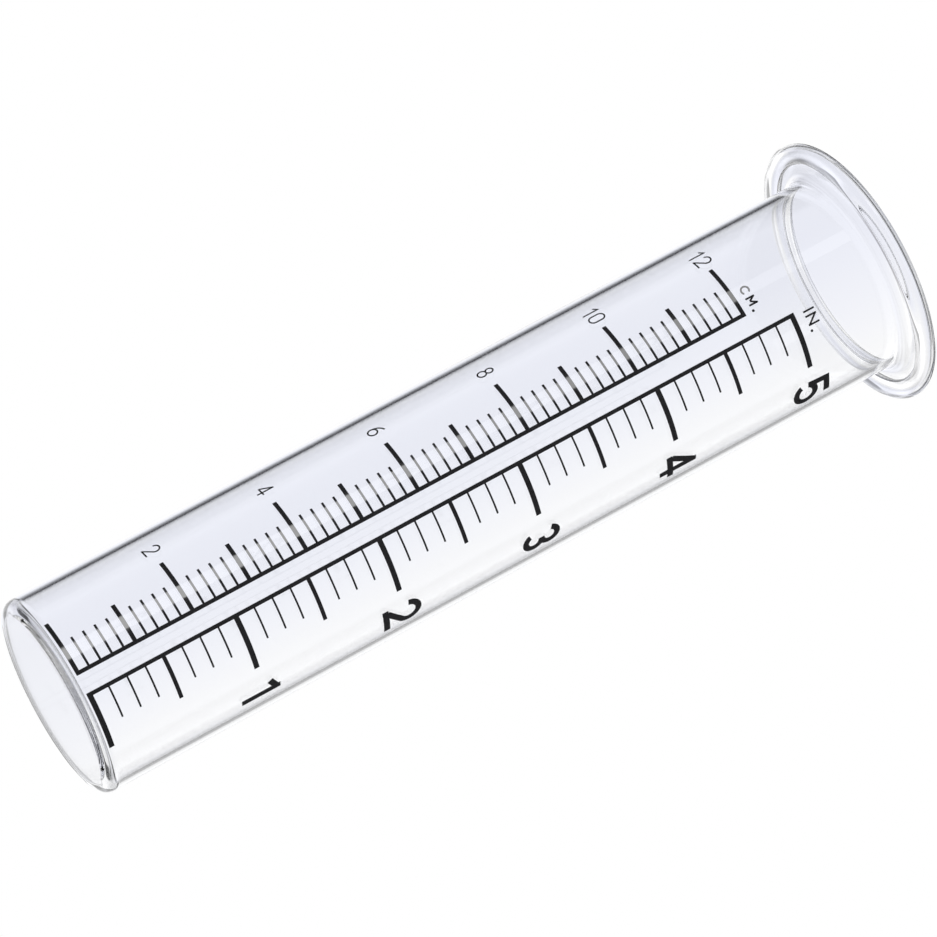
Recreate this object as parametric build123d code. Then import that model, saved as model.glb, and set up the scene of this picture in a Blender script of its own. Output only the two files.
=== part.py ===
"""Manual rain gauge: one clear glass tube, closed and flat at the base, with a flared and beaded mouth.
A centimetre scale and an inch scale are printed in black enamel on the outside of the tube.
Millimetres. The tube stands on its base, Z up; the print is centred on the -Y side; origin at the base centre."""
import os
from math import cos, degrees, radians, sin

from build123d import *

# Glass tube
R_OUT = 16.5  # outer radius of the straight tube
WALL = 1.0  # wall of the tube
FLOOR = 1.2  # thickness of the closed base
R_FOOT = 2.0  # outside radius round the base edge
R_HEEL = 1.2  # inside radius where wall meets floor
R_FLARE = 1.4  # outside radius where the tube turns out into the lip
BEAD_R = 1.6  # section radius of the bead round the mouth
RIM_R = 22.6  # overall radius over the bead
BEAD_Z = 147.6  # height of the bead's centre

# Enamel print
INK = 0.05  # thickness of the enamel
LINE_W = 0.64  # width of each scale's upright line
CM_LINE = -6.3  # angle of the centimetre scale's upright line
IN_LINE = 6.3  # angle of the inch scale's upright line
HALF_LINE = degrees(LINE_W / 2 / R_OUT)  # half the line's width as an angle

# Centimetre scale: 0 to 12 cm in 2 mm steps
ZERO = 2.1  # height of both scales' zero lines
CM_TOP = 12
CM_STEP = 2.0
CM_LONG = -39.4  # angle where the ticks of even centimetres end
CM_MID = -30.2  # odd centimetres
CM_FINE = -25.2  # 2 mm ticks
CM_BOLD_W = 0.7
CM_FINE_W = 0.38

# Inch scale: 0 to 5 in by eighths
INCH = 25.4
IN_TOP = 5
IN_LONG = 38.6  # whole inches
IN_HALF = 32.2  # half inches
IN_FINE = 25.4  # other eighths
IN_LONG_W = 0.88
IN_HALF_W = 0.66
IN_FINE_W = 0.3

# Numerals and unit labels, laid out along the tube's surface
CM_NUM_H = 2.9
CM_NUM_W = 1.8
CM_NUM_PEN = 0.26
CM_NUM_ARC = -14.8  # arc length from the -Y line to the middle of a number
CM_NUM_RISE = 0.25  # middle of a number above its tick
CM_DIGIT_GAP = 2.15  # from one digit's middle to the next
IN_NUM_H = 6.8
IN_NUM_W = 4.6
IN_NUM_PEN = 1.08
IN_NUM_ARC = 16.1
IN_NUM_RISE = -0.25
CM_LABEL_H = 1.6
IN_LABEL_H = 2.0
LABEL_PEN = 0.3
CM_LABEL_ARC = -5.2
IN_LABEL_ARC = 2.25
LABEL_RISE = 1.6  # foot of a unit label above its scale's top tick
IN_LABEL_RISE = 1.95


def bar(x0, y0, x1, y1, pen):
    """Straight stroke with square ends."""
    run = Line((x0, y0), (x1, y1))
    middle = run @ 0.5
    angle = run.tangent_angle_at(0.5)
    return Location((middle.X, middle.Y), (0, 0, angle)) * Rectangle(run.length, pen)


def bow(x, y, radius, start, sweep, pen):
    """Curved stroke of the given mid-line radius."""
    outer = CenterArc((x, y), radius + pen / 2, start, sweep)
    inner = CenterArc((x, y), radius - pen / 2, start, sweep)
    return make_face([outer, Line(outer @ 1, inner @ 1), inner, Line(inner @ 0, outer @ 0)])


def hoop(x, y, radius, pen):
    """Closed round stroke."""
    return Location((x, y)) * (Circle(radius + pen / 2) - Circle(radius - pen / 2))


def digit(mark, w, h, pen):
    """One upright sans digit, w wide and h tall, centred on the origin."""
    e = pen / 2
    left, right = -w / 2 + e, w / 2 - e
    foot, head = -h / 2 + e, h / 2 - e
    half = w / 2 - e
    bowl = (h - pen) / 4
    if mark == "0":
        straight = h / 2 - e - half
        sides = bar(left, -straight, left, straight, pen) + bar(right, -straight, right, straight, pen)
        return sides + bow(0, straight, half, 0, 180, pen) + bow(0, -straight, half, 180, 180, pen)
    if mark == "1":
        stem = w * 0.17
        flag = bar(stem - w * 0.43, h * 0.26, stem, head - e * 0.2, pen)
        return bar(stem, -h / 2, stem, h / 2, pen) + flag
    if mark == "2":
        top = head - half
        slant = bar(left + e * 0.3, foot + e * 0.6, half * cos(radians(-40)), top + half * sin(radians(-40)), pen)
        return bow(0, top, half, -46, 221, pen) + slant + bar(-w / 2, foot, w / 2, foot, pen)
    if mark == "3":
        return bow(0, bowl, bowl, -95, 255, pen) + bow(0, -bowl, bowl, -160, 255, pen)
    if mark == "4":
        stem = w * 0.17
        shelf = -h * 0.21
        slant = bar(left - e * 0.1, shelf + e * 0.8, stem - e * 0.1, head, pen)
        return bar(stem, -h / 2, stem, h / 2, pen) + slant + bar(-w / 2, shelf, w / 2, shelf, pen)
    if mark == "5":
        middle = foot + half
        roof = bar(left, head, w / 2 - e, head, pen)
        wall = bar(left + e * 0.7, h / 2, left + e * 0.2, middle + e, pen)
        return bow(0, middle, half, -155, 300, pen) + roof + wall
    if mark == "6":
        low = foot + half
        back = head - low
        return hoop(0, low, half, pen) + bow(back - half, low, back, 104, 76, pen)
    low = (h - pen) * 0.27
    high = (h - pen) * 0.23
    return hoop(0, foot + low, low, pen) + hoop(0, head - high, high, pen)


def letter(mark, h, pen):
    """One upright sans capital, or a full stop, with its foot on the origin."""
    e = pen / 2
    w = h * 0.36
    if mark == "C":
        return bow(0, h / 2, h / 2 - e, 42, 276, pen)
    if mark == "M":
        legs = bar(-w, 0, -w, h, pen) + bar(w, 0, w, h, pen)
        return legs + bar(-w, h - e, 0, h * 0.3, pen) + bar(w, h - e, 0, h * 0.3, pen)
    if mark == "N":
        legs = bar(-w, 0, -w, h, pen) + bar(w, 0, w, h, pen)
        return legs + bar(-w, h - e, w, e, pen)
    if mark == "I":
        return bar(0, 0, 0, h, pen)
    return Location((0, e)) * Circle(pen * 0.75)


def on_tube(flat, arc, z):
    """Lays a flat mark on the outside of the tube, arc mm round from the -Y line."""
    turn = arc / R_OUT
    outward = (sin(turn), -cos(turn), 0)
    start = ((R_OUT - 2) * sin(turn), -(R_OUT - 2) * cos(turn), z)
    facing = Plane(origin=start, x_dir=(cos(turn), sin(turn), 0), z_dir=outward)
    return extrude(facing * flat, amount=3) & SKIN


def band(from_angle, to_angle, z, width):
    """Enamel band round part of the tube, its mid-height at z. Angles from the -Y line."""
    start = min(from_angle, to_angle) - 90
    arc = bow(0, 0, R_OUT + INK / 2, start, abs(to_angle - from_angle), INK)
    return Location((0, 0, z - width / 2)) * extrude(arc, amount=width)


def upright(angle, z0, z1):
    """Enamel line up the tube."""
    return band(angle - HALF_LINE, angle + HALF_LINE, (z0 + z1) / 2, z1 - z0)


def save(name, shape):
    export_step(shape, f"parts/{name}.step")


def marks(pieces):
    """Several separate marks kept together as one node."""
    return Compound(children=[s for p in pieces for s in p.solids()])


os.makedirs("parts", exist_ok=True)
SKIN = extrude(Circle(R_OUT + INK) - Circle(R_OUT), amount=BEAD_Z)

# Glass: half section in the XZ plane, turned about Z
inner = R_OUT - WALL
lip = R_OUT + R_FLARE
lip_low = BEAD_Z - WALL / 2
lip_top = BEAD_Z + WALL / 2
turn_z = lip_low - R_FLARE
lip_end = RIM_R - BEAD_R
k = sin(radians(45))
outside = [
    Line((0, 0), (R_OUT - R_FOOT, 0)),
    ThreePointArc(
        (R_OUT - R_FOOT, 0),
        (R_OUT - R_FOOT + R_FOOT * k, R_FOOT - R_FOOT * k),
        (R_OUT, R_FOOT),
    ),
    Line((R_OUT, R_FOOT), (R_OUT, turn_z)),
    ThreePointArc(
        (R_OUT, turn_z),
        (lip - R_FLARE * k, turn_z + R_FLARE * k),
        (lip, lip_low),
    ),
    Line((lip, lip_low), (lip_end, lip_low)),
    Line((lip_end, lip_low), (lip_end, lip_top)),
]
hollow = [
    Line((lip_end, lip_top), (lip, lip_top)),
    ThreePointArc(
        (lip, lip_top),
        (lip - (R_FLARE + WALL) * k, turn_z + (R_FLARE + WALL) * k),
        (inner, turn_z),
    ),
    Line((inner, turn_z), (inner, FLOOR + R_HEEL)),
    ThreePointArc(
        (inner, FLOOR + R_HEEL),
        (inner - R_HEEL + R_HEEL * k, FLOOR + R_HEEL - R_HEEL * k),
        (inner - R_HEEL, FLOOR),
    ),
    Line((inner - R_HEEL, FLOOR), (0, FLOOR)),
    Line((0, FLOOR), (0, 0)),
]
section = Plane.XZ * make_face(outside + hollow)
body = revolve(section, Axis.Z)
bead = Location((0, 0, BEAD_Z)) * Torus(RIM_R - BEAD_R, BEAD_R)
save("glass_tube", body + bead)

# Centimetre scale
cm_end = ZERO + CM_TOP * 10
long_ticks = []
mid_ticks = []
fine_ticks = []
for i in range(int(CM_TOP * 10 / CM_STEP) + 1):
    z = ZERO + i * CM_STEP
    if i % 10 == 0:
        long_ticks.append(band(CM_LINE - HALF_LINE, CM_LONG, z, CM_BOLD_W))
    elif i % 5 == 0:
        mid_ticks.append(band(CM_LINE - HALF_LINE, CM_MID, z, CM_BOLD_W))
    else:
        fine_ticks.append(band(CM_LINE - HALF_LINE, CM_FINE, z, CM_FINE_W))
save("cm_scale_line", upright(CM_LINE, ZERO - CM_BOLD_W / 2, cm_end + CM_BOLD_W / 2))
save("cm_long_ticks", marks(long_ticks))
save("cm_mid_ticks", marks(mid_ticks))
save("cm_fine_ticks", marks(fine_ticks))
for value in range(2, CM_TOP + 1, 2):
    first = CM_NUM_ARC - (len(str(value)) - 1) * CM_DIGIT_GAP / 2
    height = ZERO + value * 10 + CM_NUM_RISE
    figures = [
        on_tube(digit(mark, CM_NUM_W, CM_NUM_H, CM_NUM_PEN), first + n * CM_DIGIT_GAP, height)
        for n, mark in enumerate(str(value))
    ]
    save(f"cm_numeral_{value:02d}", marks(figures))
foot = cm_end + LABEL_RISE
save("cm_unit_label", marks([
    on_tube(letter("C", CM_LABEL_H, LABEL_PEN), CM_LABEL_ARC, foot),
    on_tube(letter("M", CM_LABEL_H, LABEL_PEN), CM_LABEL_ARC + 1.95, foot),
    on_tube(letter(".", CM_LABEL_H, LABEL_PEN), CM_LABEL_ARC + 3.5, foot),
]))

# Inch scale
in_end = ZERO + IN_TOP * INCH
inch_ticks = []
half_ticks = []
eighth_ticks = []
for i in range(IN_TOP * 8 + 1):
    z = ZERO + i * INCH / 8
    if i % 8 == 0:
        inch_ticks.append(band(IN_LINE + HALF_LINE, IN_LONG, z, IN_LONG_W))
    elif i % 4 == 0:
        half_ticks.append(band(IN_LINE + HALF_LINE, IN_HALF, z, IN_HALF_W))
    else:
        eighth_ticks.append(band(IN_LINE + HALF_LINE, IN_FINE, z, IN_FINE_W))
save("inch_scale_line", upright(IN_LINE, ZERO - IN_LONG_W / 2, in_end + IN_LONG_W / 2))
save("inch_long_ticks", marks(inch_ticks))
save("inch_half_ticks", marks(half_ticks))
save("inch_eighth_ticks", marks(eighth_ticks))
for value in range(1, IN_TOP + 1):
    figure = digit(str(value), IN_NUM_W, IN_NUM_H, IN_NUM_PEN)
    save(f"inch_numeral_{value}", on_tube(figure, IN_NUM_ARC, ZERO + value * INCH + IN_NUM_RISE))
foot = in_end + IN_LABEL_RISE
save("inch_unit_label", marks([
    on_tube(letter("I", IN_LABEL_H, LABEL_PEN), IN_LABEL_ARC, foot),
    on_tube(letter("N", IN_LABEL_H, LABEL_PEN), IN_LABEL_ARC + 1.55, foot),
    on_tube(letter(".", IN_LABEL_H, LABEL_PEN), IN_LABEL_ARC + 3.25, foot),
]))
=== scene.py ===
import math

import bmesh
import bpy
from mathutils import Matrix, Vector


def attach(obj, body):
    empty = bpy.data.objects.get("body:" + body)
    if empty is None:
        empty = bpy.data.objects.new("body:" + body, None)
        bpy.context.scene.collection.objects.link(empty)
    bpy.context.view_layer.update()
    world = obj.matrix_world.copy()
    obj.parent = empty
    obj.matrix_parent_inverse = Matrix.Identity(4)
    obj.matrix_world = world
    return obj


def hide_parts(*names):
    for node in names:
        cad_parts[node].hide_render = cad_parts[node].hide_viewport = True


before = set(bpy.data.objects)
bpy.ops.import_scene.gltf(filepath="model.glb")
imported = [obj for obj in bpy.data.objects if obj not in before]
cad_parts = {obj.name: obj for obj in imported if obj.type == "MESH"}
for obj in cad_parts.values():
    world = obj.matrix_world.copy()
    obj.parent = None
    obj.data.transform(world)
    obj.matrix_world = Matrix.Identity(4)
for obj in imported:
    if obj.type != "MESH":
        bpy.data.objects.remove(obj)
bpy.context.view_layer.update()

# ---------------------------------------------------------------- sizes, in metres, as in the CAD
R_OUT = 0.0165
WALL = 0.001
FLOOR = 0.0012
R_FOOT = 0.002
R_HEEL = 0.0012
R_FLARE = 0.0014
BEAD_R = 0.0016
RIM_R = 0.0226
BEAD_Z = 0.1476
INK = 0.00005
CREASE = 0.0003  # the small hollow where the lip runs into the bead
SEGMENTS = 288  # sides of the round tube
PRINT_STEP = 1.25  # degrees between the cuts that bend the print round the tube
SHARP = 35  # degrees between two faces of the print that leave a hard edge
GLASS_IOR = 1.47
ENAMEL_IOR = 2.5
FLOOR_RADIUS = 3.0
FLOOR_GAP = 0.0003  # keeps the floor clear of the base
FLOOR_FADE = (0.15, 0.6)  # how far out the floor starts and ends to turn into even white

# ---------------------------------------------------------------- studio, in degrees round and degrees up
CARD_RISE = (8, 27)  # both cards behind the tube
CARD_SOFT = 5.0
DARK_CARD = 0.92  # share of the light that each card or band takes away
GREY_CARD = 0.55
LOW_BANDS = 0.95
HIGH_BAND = 0.6
GREY_TURN = (26.5, 60)
DEEP_RISE = (-34, -20.7)
HIGH_RISE = (36, 62)
HIGH_TURN = 24
WINDOW_TURN = (-44.5, -29.5)
WINDOW_LIGHT = 2.2
BACK_TURN = 25
BACK_RISE = (-24, 27)
BACK_LIGHT = 0.9
TOP_LIGHT = 0.3
DIM = 0.04  # mirrored light where there is no window and no pale surface
STEEP_RISE = (40, 65)  # from here on straight up and down look the same from all round
STEEP_LIGHT = 0.92

# how bright the surroundings look through the glass, by degrees round from straight behind
BACKDROP = [
    (-90, 0.92),
    (-30, 0.66),
    (-25, 0.74),
    (-20, 0.94),
    (-16, 1.04),
    (-11, 1.08),
    (-8.5, 1.06),
    (-6, 0.99),
    (-4, 0.91),
    (-1.5, 0.88),
    (0, 0.92),
    (2, 0.985),
    (4, 1.03),
    (6, 1.13),
    (8.5, 1.27),
    (12, 1.36),
    (15, 1.28),
    (18, 1.14),
    (22, 1.08),
    (90, 0.96),
]


# ---------------------------------------------------------------- node helpers
def tree_of(name):
    """A new material with an empty node tree."""
    m = bpy.data.materials.new(name)
    m.use_nodes = True
    t = m.node_tree
    t.nodes.clear()
    return m, t


def node(t, kind, x=0, y=0, **sets):
    """A node at a place in the tree, with some of its settings."""
    n = t.nodes.new(kind)
    n.location = (x, y)
    for k, v in sets.items():
        setattr(n, k, v)
    return n


def math_node(t, op, a, b=None, c=None):
    """One sum, of sockets or plain numbers."""
    n = t.nodes.new("ShaderNodeMath")
    n.operation = op
    for i, v in enumerate((a, b, c)):
        if v is None:
            continue
        if isinstance(v, (int, float)):
            n.inputs[i].default_value = v
        else:
            t.links.new(v, n.inputs[i])
    return n.outputs[0]


def ramp(t, value, lo, hi, out_lo=0.0, out_hi=1.0):
    """Smooth step of value from lo to hi."""
    n = t.nodes.new("ShaderNodeMapRange")
    n.interpolation_type = "SMOOTHSTEP"
    n.inputs["From Min"].default_value = lo
    n.inputs["From Max"].default_value = hi
    n.inputs["To Min"].default_value = out_lo
    n.inputs["To Max"].default_value = out_hi
    t.links.new(value, n.inputs["Value"])
    return n.outputs["Result"]


def window(t, value, lo, hi, soft):
    """1 between lo and hi, 0 outside, with soft edges."""
    start = ramp(t, value, lo - soft, lo + soft)
    end = ramp(t, value, hi + soft, hi - soft)
    return math_node(t, "MULTIPLY", start, end)


def dimmed(t, light, where, share):
    """The light with a share of it taken away where the second value is 1."""
    return math_node(t, "MULTIPLY", light, math_node(t, "MULTIPLY_ADD", where, -share, 1.0))


# ---------------------------------------------------------------- materials
def glass_material():
    """Clear glass with faint drawn streaks and a trace of uneven polish."""
    m, t = tree_of("clear_glass")
    out = node(t, "ShaderNodeOutputMaterial", 600, 0)
    bsdf = node(t, "ShaderNodeBsdfPrincipled", 300, 0)
    bsdf.inputs["Transmission Weight"].default_value = 1.0
    bsdf.inputs["IOR"].default_value = GLASS_IOR
    where = node(t, "ShaderNodeTexCoord", -900, 0)
    stretch = node(t, "ShaderNodeMapping", -700, 0)
    stretch.inputs["Scale"].default_value = (60, 60, 14)
    t.links.new(where.outputs["Object"], stretch.inputs["Vector"])
    drawn = node(t, "ShaderNodeTexNoise", -500, 0)
    drawn.inputs["Scale"].default_value = 1.0
    drawn.inputs["Detail"].default_value = 2.0
    t.links.new(stretch.outputs["Vector"], drawn.inputs["Vector"])
    tint = node(t, "ShaderNodeMix", -100, 150, data_type="RGBA")
    tint.inputs["A"].default_value = (0.985, 0.988, 0.992, 1)
    tint.inputs["B"].default_value = (0.993, 0.995, 0.998, 1)
    t.links.new(drawn.outputs["Fac"], tint.inputs["Factor"])
    t.links.new(tint.outputs["Result"], bsdf.inputs["Base Color"])
    wipe = node(t, "ShaderNodeTexNoise", -500, -300)
    wipe.inputs["Scale"].default_value = 220.0
    wipe.inputs["Detail"].default_value = 3.0
    t.links.new(where.outputs["Object"], wipe.inputs["Vector"])
    t.links.new(ramp(t, wipe.outputs["Fac"], 0.35, 0.8, 0.0, 0.012), bsdf.inputs["Roughness"])
    bump = node(t, "ShaderNodeBump", 0, -300)
    bump.inputs["Strength"].default_value = 0.25
    bump.inputs["Distance"].default_value = 0.00004
    t.links.new(drawn.outputs["Fac"], bump.inputs["Height"])
    t.links.new(bump.outputs["Normal"], bsdf.inputs["Normal"])
    t.links.new(bsdf.outputs[0], out.inputs["Surface"])
    return m


def enamel_material():
    """Glossy black enamel, without gloss on the side that is fused to the glass."""
    m, t = tree_of("black_enamel")
    out = node(t, "ShaderNodeOutputMaterial", 600, 0)
    bsdf = node(t, "ShaderNodeBsdfPrincipled", 300, 0)
    bsdf.inputs["IOR"].default_value = ENAMEL_IOR
    where = node(t, "ShaderNodeTexCoord", -900, 0)
    cloud = node(t, "ShaderNodeTexNoise", -500, 0)
    cloud.inputs["Scale"].default_value = 900.0
    cloud.inputs["Detail"].default_value = 4.0
    t.links.new(where.outputs["Object"], cloud.inputs["Vector"])
    shade = node(t, "ShaderNodeMix", -100, 150, data_type="RGBA")
    shade.inputs["A"].default_value = (0.008, 0.008, 0.009, 1)
    shade.inputs["B"].default_value = (0.02, 0.02, 0.023, 1)
    t.links.new(cloud.outputs["Fac"], shade.inputs["Factor"])
    t.links.new(shade.outputs["Result"], bsdf.inputs["Base Color"])
    t.links.new(ramp(t, cloud.outputs["Fac"], 0.3, 0.75, 0.04, 0.12), bsdf.inputs["Roughness"])
    flat = node(t, "ShaderNodeVectorMath", -700, -500, operation="MULTIPLY")
    flat.inputs[1].default_value = (1, 1, 0)
    t.links.new(where.outputs["Object"], flat.inputs[0])
    out_from_axis = node(t, "ShaderNodeVectorMath", -500, -500, operation="LENGTH")
    t.links.new(flat.outputs[0], out_from_axis.inputs[0])
    outer = ramp(t, out_from_axis.outputs["Value"], R_OUT + INK * 0.3, R_OUT + INK * 0.7, 0.0, 0.5)
    t.links.new(outer, bsdf.inputs["Specular IOR Level"])
    bump = node(t, "ShaderNodeBump", 0, -300)
    bump.inputs["Strength"].default_value = 0.3
    bump.inputs["Distance"].default_value = 0.000006
    t.links.new(cloud.outputs["Fac"], bump.inputs["Height"])
    t.links.new(bump.outputs["Normal"], bsdf.inputs["Normal"])
    t.links.new(bsdf.outputs[0], out.inputs["Surface"])
    return m


# ---------------------------------------------------------------- glass
def arc(cx, cz, radius, start, end, steps):
    """Points round a centre in the half section, angles in degrees from +r towards +z."""
    return [
        (
            cx + radius * math.cos(math.radians(start + (end - start) * i / steps)),
            cz + radius * math.sin(math.radians(start + (end - start) * i / steps)),
        )
        for i in range(steps + 1)
    ]


def run(p, q, steps):
    """Points between p and q, both left out."""
    return [(p[0] + (q[0] - p[0]) * i / steps, p[1] + (q[1] - p[1]) * i / steps) for i in range(1, steps)]


def glass_profile():
    """The tube's closed half section from the axis round the outside to the axis inside."""
    inner = R_OUT - WALL
    lip = R_OUT + R_FLARE
    low, top = BEAD_Z - WALL / 2, BEAD_Z + WALL / 2
    turn = low - R_FLARE
    bead = RIM_R - BEAD_R
    # the crease arc is tangent to the flat of the lip and to the bead
    reach = math.sqrt((BEAD_R + CREASE) ** 2 - (WALL / 2 + CREASE) ** 2)
    crease = bead - reach
    meet = math.degrees(math.atan2(WALL / 2 + CREASE, reach))
    p = run((0, 0), (R_OUT - R_FOOT, 0), 10)
    p += arc(R_OUT - R_FOOT, R_FOOT, R_FOOT, -90, 0, 16)
    p += run((R_OUT, R_FOOT), (R_OUT, turn), 60)
    p += arc(R_OUT + R_FLARE, turn, R_FLARE, 180, 90, 14)
    p += arc(crease, low - CREASE, CREASE, 90, 90 - (90 - meet), 6)
    p += arc(bead, BEAD_Z, BEAD_R, -180 + meet, 180 - meet, 60)[1:-1]
    p += arc(crease, top + CREASE, CREASE, -meet, -90, 6)
    p += arc(lip, turn, R_FLARE + WALL, 90, 180, 18)
    p += run((inner, turn), (inner, FLOOR + R_HEEL), 60)
    p += arc(inner - R_HEEL, FLOOR + R_HEEL, R_HEEL, 0, -90, 16)
    p += run((inner - R_HEEL, FLOOR), (0, FLOOR), 10)
    return p


def revolve(name, profile, foot_z, floor_z, segments=SEGMENTS):
    """Turns a half section about Z, with one point on the axis at each end."""
    bm = bmesh.new()
    rings = []
    for r, z in profile:
        ring = []
        for k in range(segments):
            a = 2 * math.pi * k / segments
            ring.append(bm.verts.new((r * math.cos(a), r * math.sin(a), z)))
        rings.append(ring)
    for a, b in zip(rings, rings[1:]):
        for k in range(segments):
            j = (k + 1) % segments
            bm.faces.new((a[k], a[j], b[j], b[k]))
    for ring, z, flip in ((rings[0], foot_z, True), (rings[-1], floor_z, False)):
        centre = bm.verts.new((0, 0, z))
        for k in range(segments):
            j = (k + 1) % segments
            bm.faces.new((centre, ring[j], ring[k]) if flip else (centre, ring[k], ring[j]))
    bmesh.ops.recalc_face_normals(bm, faces=bm.faces)
    for f in bm.faces:
        f.smooth = True
    mesh = bpy.data.meshes.new(name)
    bm.to_mesh(mesh)
    bm.free()
    o = bpy.data.objects.new(name, mesh)
    bpy.context.scene.collection.objects.link(o)
    return o


# ---------------------------------------------------------------- enamel print
def fine_print(cad_name, material):
    """The node's marks again, cut finely round the tube and laid on its true round surface."""
    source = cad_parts[cad_name]
    bm = bmesh.new()
    bm.from_mesh(source.data)
    bmesh.ops.remove_doubles(bm, verts=bm.verts, dist=1e-7)
    angles = [math.degrees(math.atan2(v.co.x, -v.co.y)) for v in bm.verts]
    first = math.ceil(min(angles) / PRINT_STEP)
    last = math.floor(max(angles) / PRINT_STEP)
    for k in range(first, last + 1):
        turn = math.radians(k * PRINT_STEP)
        bmesh.ops.bisect_plane(
            bm,
            geom=bm.verts[:] + bm.edges[:] + bm.faces[:],
            dist=1e-8,
            plane_co=(0, 0, 0),
            plane_no=(math.cos(turn), math.sin(turn), 0),
        )
    for v in bm.verts:
        r = math.hypot(v.co.x, v.co.y)
        true = R_OUT + INK if r > R_OUT + INK / 2 else R_OUT + 0.000002
        v.co.x *= true / r
        v.co.y *= true / r
    bmesh.ops.recalc_face_normals(bm, faces=bm.faces)
    for f in bm.faces:
        f.smooth = True
    for e in bm.edges:
        e.smooth = len(e.link_faces) == 2 and e.calc_face_angle(0) < math.radians(SHARP)
    mesh = bpy.data.meshes.new(cad_name + "_print")
    bm.to_mesh(mesh)
    bm.free()
    mesh.materials.append(material)
    o = bpy.data.objects.new(cad_name + "_print", mesh)
    bpy.context.scene.collection.objects.link(o)
    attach(o, "root")
    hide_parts(cad_name)
    return o


glass = glass_material()
enamel = enamel_material()

tube = revolve("glass_body", glass_profile(), 0.0, FLOOR)
tube.data.materials.append(glass)
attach(tube, "root")
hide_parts("glass_tube")

for name in sorted(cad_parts):
    if name != "glass_tube":
        fine_print(name, enamel)


# ---------------------------------------------------------------- studio
def studio_floor():
    """A pale round floor, seen only from above."""
    bm = bmesh.new()
    bmesh.ops.create_circle(bm, cap_ends=True, segments=96, radius=FLOOR_RADIUS)
    mesh = bpy.data.meshes.new("studio_floor")
    bm.to_mesh(mesh)
    bm.free()
    o = bpy.data.objects.new("studio_floor", mesh)
    bpy.context.scene.collection.objects.link(o)
    o.location.z = -FLOOR_GAP
    m, t = tree_of("pale_floor")
    out = node(t, "ShaderNodeOutputMaterial", 600, 0)
    pale = node(t, "ShaderNodeBsdfDiffuse", 0, 0)
    pale.inputs["Color"].default_value = (0.93, 0.93, 0.93, 1)
    glow = node(t, "ShaderNodeEmission", 0, -150)
    glow.inputs["Color"].default_value = (1, 1, 1, 1)
    where = node(t, "ShaderNodeTexCoord", -600, 0)
    far = node(t, "ShaderNodeVectorMath", -400, 0, operation="LENGTH")
    t.links.new(where.outputs["Object"], far.inputs[0])
    fade = node(t, "ShaderNodeMixShader", 200, 0)
    t.links.new(ramp(t, far.outputs["Value"], *FLOOR_FADE), fade.inputs["Fac"])
    t.links.new(pale.outputs[0], fade.inputs[1])
    t.links.new(glow.outputs[0], fade.inputs[2])
    side = node(t, "ShaderNodeNewGeometry", 0, 200)
    clear = node(t, "ShaderNodeBsdfTransparent", 200, 200)
    both = node(t, "ShaderNodeMixShader", 400, 0)
    t.links.new(side.outputs["Backfacing"], both.inputs["Fac"])
    t.links.new(fade.outputs[0], both.inputs[1])
    t.links.new(clear.outputs[0], both.inputs[2])
    t.links.new(both.outputs[0], out.inputs["Surface"])
    mesh.materials.append(m)
    o.visible_transmission = False
    o.visible_glossy = False
    return o


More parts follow.
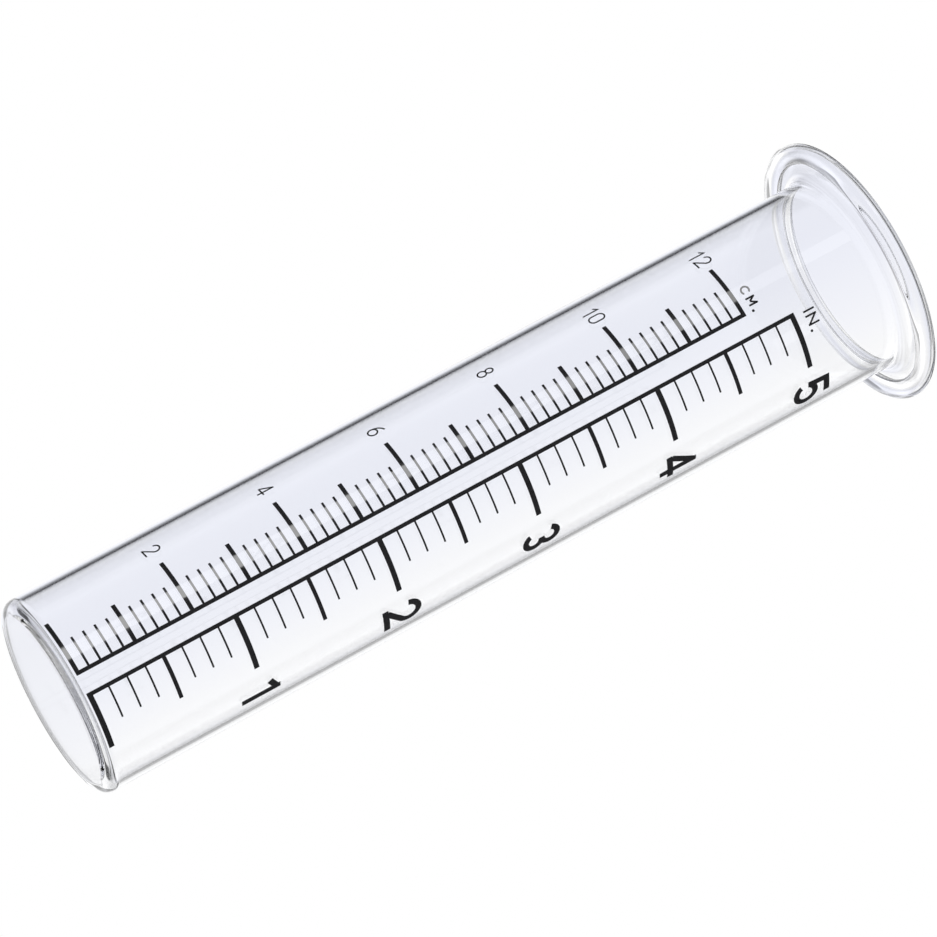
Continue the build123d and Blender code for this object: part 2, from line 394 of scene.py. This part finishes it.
def studio_world():
    """Soft light all round, with darker cards and bands that draw the edges of clear glass.

    It isn't a physical room: reflected light, light that came through glass and light that came through
    one thickness only each meet surroundings of their own.
    """
    w = bpy.data.worlds.new("studio")
    bpy.context.scene.world = w
    w.use_nodes = True
    w.cycles.sampling_method = "NONE"
    t = w.node_tree
    t.nodes.clear()
    out = node(t, "ShaderNodeOutputWorld", 900, 0)
    where = node(t, "ShaderNodeTexCoord", -1200, 0)
    split = node(t, "ShaderNodeSeparateXYZ", -1000, 0)
    t.links.new(where.outputs["Generated"], split.inputs[0])
    x, y, z = split.outputs
    turn = math_node(t, "DEGREES", math_node(t, "ARCTAN2", x, y))  # 0 at +Y, 90 at +X
    toward = math_node(t, "MULTIPLY", y, -1.0)
    front = math_node(t, "DEGREES", math_node(t, "ARCTAN2", x, toward))  # 0 at -Y
    rise = math_node(t, "DEGREES", math_node(t, "ARCSINE", z))
    path = node(t, "ShaderNodeLightPath", -400, 600)

    # seen through the glass: pale all round, with a dark card left and a grey one right behind the tube
    pale = node(t, "ShaderNodeValToRGB", -300, 300)
    stops = pale.color_ramp
    for place, level in BACKDROP[1:-1]:
        stops.elements.new((place + 90) / 180)
    for stop, (place, level) in zip(stops.elements, BACKDROP):
        stop.position = (place + 90) / 180
        stop.color = (level * 0.5, level * 0.5, level * 0.5, 1)
    t.links.new(math_node(t, "MULTIPLY_ADD", turn, 1 / 180, 0.5), pale.inputs[0])
    level = math_node(t, "MULTIPLY", pale.outputs["Color"], 2.0)
    steep = ramp(t, math_node(t, "ABSOLUTE", rise), *STEEP_RISE)
    level = math_node(t, "MULTIPLY_ADD", math_node(t, "SUBTRACT", STEEP_LIGHT, level), steep, level)
    dark = math_node(t, "MULTIPLY", ramp(t, turn, -16.5, -33.5), ramp(t, turn, -85, -75))
    dark = math_node(t, "MULTIPLY", dark, window(t, rise, *CARD_RISE, CARD_SOFT))
    grey = math_node(t, "MULTIPLY", window(t, turn, *GREY_TURN, 1.5), window(t, rise, *CARD_RISE, CARD_SOFT))
    # dark bands lower down draw the edges of the rim and the base
    low = math_node(t, "MULTIPLY", ramp(t, rise, -11.2, -9.6), ramp(t, rise, 2, -5))
    low = math_node(t, "ADD", low, window(t, rise, *DEEP_RISE, 1.2))
    # a band higher up is met only by light through one thickness of glass: the thin line inside the rim
    single = math_node(t, "LESS_THAN", path.outputs["Transmission Depth"], 2.5)
    high = window(t, rise, *HIGH_RISE, 1.5)
    high = math_node(t, "MULTIPLY", high, window(t, turn, -HIGH_TURN, HIGH_TURN, 8.0))
    high = math_node(t, "MULTIPLY", high, single)
    below = ramp(t, rise, -8, -11, 1.0, 0.87)
    through = dimmed(t, level, dark, DARK_CARD)
    through = dimmed(t, through, grey, GREY_CARD)
    through = dimmed(t, through, low, LOW_BANDS)
    through = math_node(t, "MULTIPLY", through, below)
    through = dimmed(t, through, high, HIGH_BAND)

    # mirrored in the glass and the print: a tall window to the left, brighter low down, pale behind and above
    strip = math_node(t, "MULTIPLY", window(t, front, *WINDOW_TURN, 0.6), ramp(t, rise, 3, 8))
    strip = math_node(t, "MULTIPLY", strip, ramp(t, rise, 30, 7, 0.35, 1.0))
    back = window(t, turn, -BACK_TURN, BACK_TURN, 10.0)
    back = math_node(t, "MULTIPLY", back, window(t, rise, *BACK_RISE, 4.0))
    top = ramp(t, rise, 50, 75)
    mirrored = math_node(t, "MULTIPLY_ADD", strip, WINDOW_LIGHT, DIM)
    mirrored = math_node(t, "MULTIPLY_ADD", back, BACK_LIGHT, mirrored)
    mirrored = math_node(t, "MULTIPLY_ADD", top, TOP_LIGHT, mirrored)

    seen = node(t, "ShaderNodeMix", 0, 0, data_type="FLOAT")
    seen.inputs["A"].default_value = 1.0
    t.links.new(path.outputs["Is Transmission Ray"], seen.inputs["Factor"])
    t.links.new(through, seen.inputs["B"])
    both = node(t, "ShaderNodeMix", 200, 0, data_type="FLOAT")
    matt = math_node(t, "SUBTRACT", 1.0, path.outputs["Is Diffuse Ray"])
    t.links.new(math_node(t, "MULTIPLY", path.outputs["Is Reflection Ray"], matt), both.inputs["Factor"])
    t.links.new(seen.outputs[0], both.inputs["A"])
    t.links.new(mirrored, both.inputs["B"])
    tint = node(t, "ShaderNodeMix", 200, 300, data_type="RGBA")
    tint.inputs["A"].default_value = (0.966, 0.982, 1.07, 1)
    tint.inputs["B"].default_value = (0.998, 0.998, 1.005, 1)
    side = ramp(t, turn, -1.5, 4)
    side = math_node(t, "MULTIPLY_ADD", math_node(t, "SUBTRACT", 0.5, side), steep, side)
    t.links.new(side, tint.inputs["Factor"])
    shade = node(t, "ShaderNodeMix", 400, 300, data_type="RGBA")
    shade.inputs["A"].default_value = (1, 1, 1, 1)
    t.links.new(path.outputs["Is Transmission Ray"], shade.inputs["Factor"])
    t.links.new(tint.outputs["Result"], shade.inputs["B"])
    sky = node(t, "ShaderNodeBackground", 600, 0)
    t.links.new(shade.outputs["Result"], sky.inputs["Color"])
    t.links.new(both.outputs[0], sky.inputs["Strength"])
    t.links.new(sky.outputs[0], out.inputs["Surface"])


def camera():
    """The photograph's view: from below the base and in front, rolled so the tube runs up to the right."""
    rise, roll, far = math.radians(-17.1), math.radians(61.71), 0.7922
    aim = Vector((-0.00108, 0, 0.0758))
    back = Vector((0, -math.cos(rise), math.sin(rise)))
    right = (-back).cross(Vector((0, 0, 1))).normalized()
    up = right.cross(-back)
    r = right * math.cos(roll) + up * math.sin(roll)
    u = up * math.cos(roll) - right * math.sin(roll)
    data = bpy.data.cameras.new("photo_camera")
    data.sensor_width = 36.0
    data.lens = 194.86
    data.clip_start, data.clip_end = 0.01, 50
    cam = bpy.data.objects.new("photo_camera", data)
    bpy.context.scene.collection.objects.link(cam)
    cam.matrix_world = Matrix.Translation(aim + back * far) @ Matrix((r, u, back)).transposed().to_4x4()
    bpy.context.scene.camera = cam


studio_floor()
studio_world()
camera()
scene = bpy.context.scene
scene.view_settings.view_transform = "Standard"
# light runs round inside thick glass many times before it comes out
scene.cycles.max_bounces = 90
scene.cycles.glossy_bounces = 80
scene.cycles.transmission_bounces = 32
scene.cycles.transparent_max_bounces = 16
